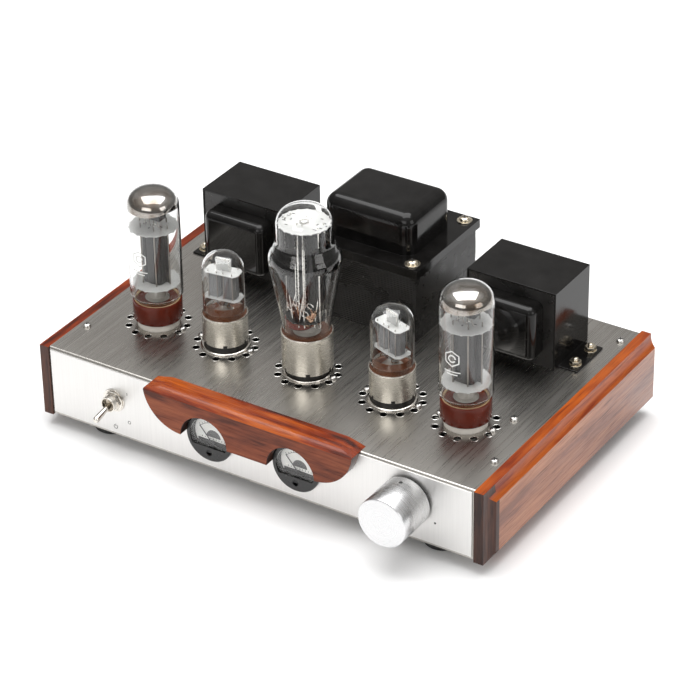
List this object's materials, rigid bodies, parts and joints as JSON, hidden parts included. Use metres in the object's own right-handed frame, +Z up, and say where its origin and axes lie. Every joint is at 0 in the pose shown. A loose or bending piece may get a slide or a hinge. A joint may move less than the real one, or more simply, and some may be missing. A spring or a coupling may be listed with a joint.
{
  "type": "tube amplifier",
  "caption": "Tube amplifier: brushed steel chassis with wooden cheeks, a row of octal tubes, black transformers behind, round meters under a wooden bar, and a volume knob.",
  "frame": {"origin": "on the ground under the middle of the whole box, from the knob's face to the ends of the speaker posts", "axes": "+Z up, +X to the right seen from the front, +Y to the rear"},
  "size_m": [0.355, 0.2754, 0.1886],
  "materials": {
    "steel": "brushed",
    "fascia": "brushed",
    "cheek_wood": "satin lacquer",
    "bar_wood": "gloss lacquer",
    "rubber": "matt",
    "screw_steel": "plated",
    "meter_black": "satin",
    "dial_card": "matt",
    "meter_glass": "clear",
    "needle_metal": "matt",
    "knob_aluminium": "fine turned",
    "shaft_brass": "plain",
    "plated_steel": "plated",
    "nickel": "nickel plated",
    "ceramic": "matt white",
    "brown_base": "moulded phenolic",
    "plated_base": "satin nickel",
    "tube_glass": "clear",
    "electrode_metal": "carbonised nickel",
    "black_iron": "varnished laminations",
    "black_gloss": "gloss enamel",
    "bolt_nickel": "nickel plated",
    "black_plastic": "moulded",
    "gold_brass": "gold plated",
    "cap_black": "knurled",
    "cap_red": "knurled",
    "board": "solder mask",
    "spacer_brass": "plain",
    "capacitor": "sleeved"
  },
  "bodies": {
    "chassis": {"chassis_shell": "steel", "bottom_cover": "steel", "front_fascia": "fascia", "side_panel_left": "cheek_wood", "side_panel_right": "cheek_wood", "front_bar": "bar_wood", "feet": "rubber", "knob_washer": "rubber", "foot_screws": "screw_steel", "deck_screws": "screw_steel", "socket_screws": "screw_steel", "meter_screws": "screw_steel", "meter_cases": "meter_black", "meter_dials": "dial_card", "meter_windows": "meter_glass", "potentiometer": "plated_steel", "switch_body": "nickel", "panel_nuts": "nickel", "tube_sockets": "ceramic", "mains_core": "black_iron", "output_core_left": "black_iron", "output_core_right": "black_iron", "mains_cover": "black_gloss", "output_frame_left": "black_gloss", "output_frame_right": "black_gloss", "output_bells_left": "black_gloss", "output_bells_right": "black_gloss", "mains_bolts": "bolt_nickel", "output_bolts": "bolt_nickel", "mains_inlet": "black_plastic", "input_jacks": "gold_brass", "speaker_posts": "gold_brass", "circuit_board": "board", "board_spacers": "spacer_brass", "filter_capacitors": "capacitor"},
    "volume": {"volume_knob": "knob_aluminium", "volume_shaft": "shaft_brass"},
    "switch_lever": {"toggle_lever": "nickel"},
    "needle_left": {"meter_needle_left": "needle_metal"},
    "needle_right": {"meter_needle_right": "needle_metal"},
    "fuse_tray": {"fuse_drawer": "black_plastic"},
    "power_tube_left": {"power_tube_left_base": "brown_base", "power_tube_left_glass": "tube_glass", "power_tube_left_electrodes": "electrode_metal"},
    "driver_tube_left": {"driver_tube_left_base": "plated_base", "driver_tube_left_glass": "tube_glass", "driver_tube_left_electrodes": "electrode_metal"},
    "rectifier_tube": {"rectifier_tube_base": "plated_base", "rectifier_tube_glass": "tube_glass", "rectifier_tube_electrodes": "electrode_metal"},
    "driver_tube_right": {"driver_tube_right_base": "plated_base", "driver_tube_right_glass": "tube_glass", "driver_tube_right_electrodes": "electrode_metal"},
    "power_tube_right": {"power_tube_right_base": "brown_base", "power_tube_right_glass": "tube_glass", "power_tube_right_electrodes": "electrode_metal"},
    "cap_left_outer": {"speaker_cap_left_outer": "cap_red"},
    "cap_left_inner": {"speaker_cap_left_inner": "cap_black"},
    "cap_right_inner": {"speaker_cap_right_inner": "cap_black"},
    "cap_right_outer": {"speaker_cap_right_outer": "cap_red"}
  },
  "joints": [
    {"name": "volume_turn", "type": "hinge", "parent": "chassis", "child": "volume", "pos_m": [0.1183, -0.1047, 0.04], "axis": [0, 1, 0], "range_deg": [0, 300]},
    {"name": "power_toggle", "type": "hinge", "parent": "chassis", "child": "switch_lever", "pos_m": [-0.1134, -0.1047, 0.0382], "axis": [-1, 0, 0], "range_deg": [0, 22]},
    {"name": "needle_swing_left", "type": "hinge", "parent": "chassis", "child": "needle_left", "pos_m": [-0.0342, -0.1047, 0.0307], "axis": [0, 1, 0], "range_deg": [0, 80], "stiffness_Nm_per_rad": 0.000002, "springref_deg": -22.92},
    {"name": "needle_swing_right", "type": "hinge", "parent": "chassis", "child": "needle_right", "pos_m": [0.0342, -0.1047, 0.0307], "axis": [0, 1, 0], "range_deg": [0, 80], "stiffness_Nm_per_rad": 0.000002, "springref_deg": -22.92},
    {"name": "power_tube_left_pull", "type": "slide", "parent": "chassis", "child": "power_tube_left", "axis": [0, 0, 1], "range_m": [0, 0.045]},
    {"name": "driver_tube_left_pull", "type": "slide", "parent": "chassis", "child": "driver_tube_left", "axis": [0, 0, 1], "range_m": [0, 0.045]},
    {"name": "rectifier_tube_pull", "type": "slide", "parent": "chassis", "child": "rectifier_tube", "axis": [0, 0, 1], "range_m": [0, 0.045]},
    {"name": "driver_tube_right_pull", "type": "slide", "parent": "chassis", "child": "driver_tube_right", "axis": [0, 0, 1], "range_m": [0, 0.045]},
    {"name": "power_tube_right_pull", "type": "slide", "parent": "chassis", "child": "power_tube_right", "axis": [0, 0, 1], "range_m": [0, 0.045]},
    {"name": "fuse_tray_slide", "type": "slide", "parent": "chassis", "child": "fuse_tray", "axis": [0, 1, 0], "range_m": [0, 0.014]},
    {"name": "cap_turn_left_outer", "type": "hinge", "parent": "chassis", "child": "cap_left_outer", "pos_m": [-0.046, 0.1277, 0.0365], "axis": [0, 1, 0], "range_deg": [0, 900]},
    {"name": "cap_turn_left_inner", "type": "hinge", "parent": "chassis", "child": "cap_left_inner", "pos_m": [-0.024, 0.1277, 0.0365], "axis": [0, 1, 0], "range_deg": [0, 900]},
    {"name": "cap_turn_right_inner", "type": "hinge", "parent": "chassis", "child": "cap_right_inner", "pos_m": [0.024, 0.1277, 0.0365], "axis": [0, 1, 0], "range_deg": [0, 900]},
    {"name": "cap_turn_right_outer", "type": "hinge", "parent": "chassis", "child": "cap_right_outer", "pos_m": [0.046, 0.1277, 0.0365], "axis": [0, 1, 0], "range_deg": [0, 900]}
  ]
}
